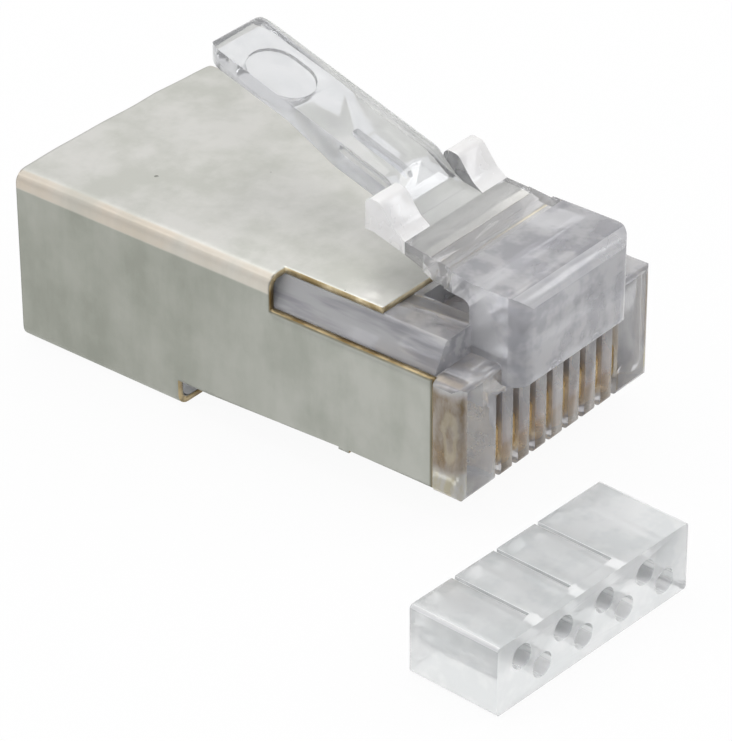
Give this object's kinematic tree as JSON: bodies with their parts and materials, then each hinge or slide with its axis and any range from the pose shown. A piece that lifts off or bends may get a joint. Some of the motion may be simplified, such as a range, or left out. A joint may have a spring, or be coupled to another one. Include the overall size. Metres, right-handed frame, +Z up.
{
  "type": "shielded modular network plug",
  "caption": "Clear shielded modular plug for network cable, with a sprung latch, gold contact blades and a separate clear wire guide.",
  "frame": {"origin": "mid-width of the plug at the tip of its nose, on the level of the surface that it lies on", "axes": "+Y from the nose to the cable end, +Z up through the latch, +X across the plug"},
  "size_m": [0.0197, 0.0301, 0.0132],
  "materials": {
    "clear_plastic": "clear moulded polycarbonate",
    "plated_sheet": "matt plated sheet with bare brass cut edges",
    "gold_plate": "gold plated"
  },
  "bodies": {
    "plug": {"housing": "clear_plastic", "shield": "plated_sheet", "contact_1": "gold_plate", "contact_2": "gold_plate", "contact_3": "gold_plate", "contact_4": "gold_plate", "contact_5": "gold_plate", "contact_6": "gold_plate", "contact_7": "gold_plate", "contact_8": "gold_plate", "load_bar": "clear_plastic"},
    "lever": {"latch": "clear_plastic"}
  },
  "joints": [
    {"name": "latch_bend", "type": "hinge", "parent": "plug", "child": "lever", "pos_m": [0, 0.004, 0.00862], "axis": [-1, 0, 0], "range_deg": [0, 20], "stiffness_Nm_per_rad": 0.003}
  ]
}
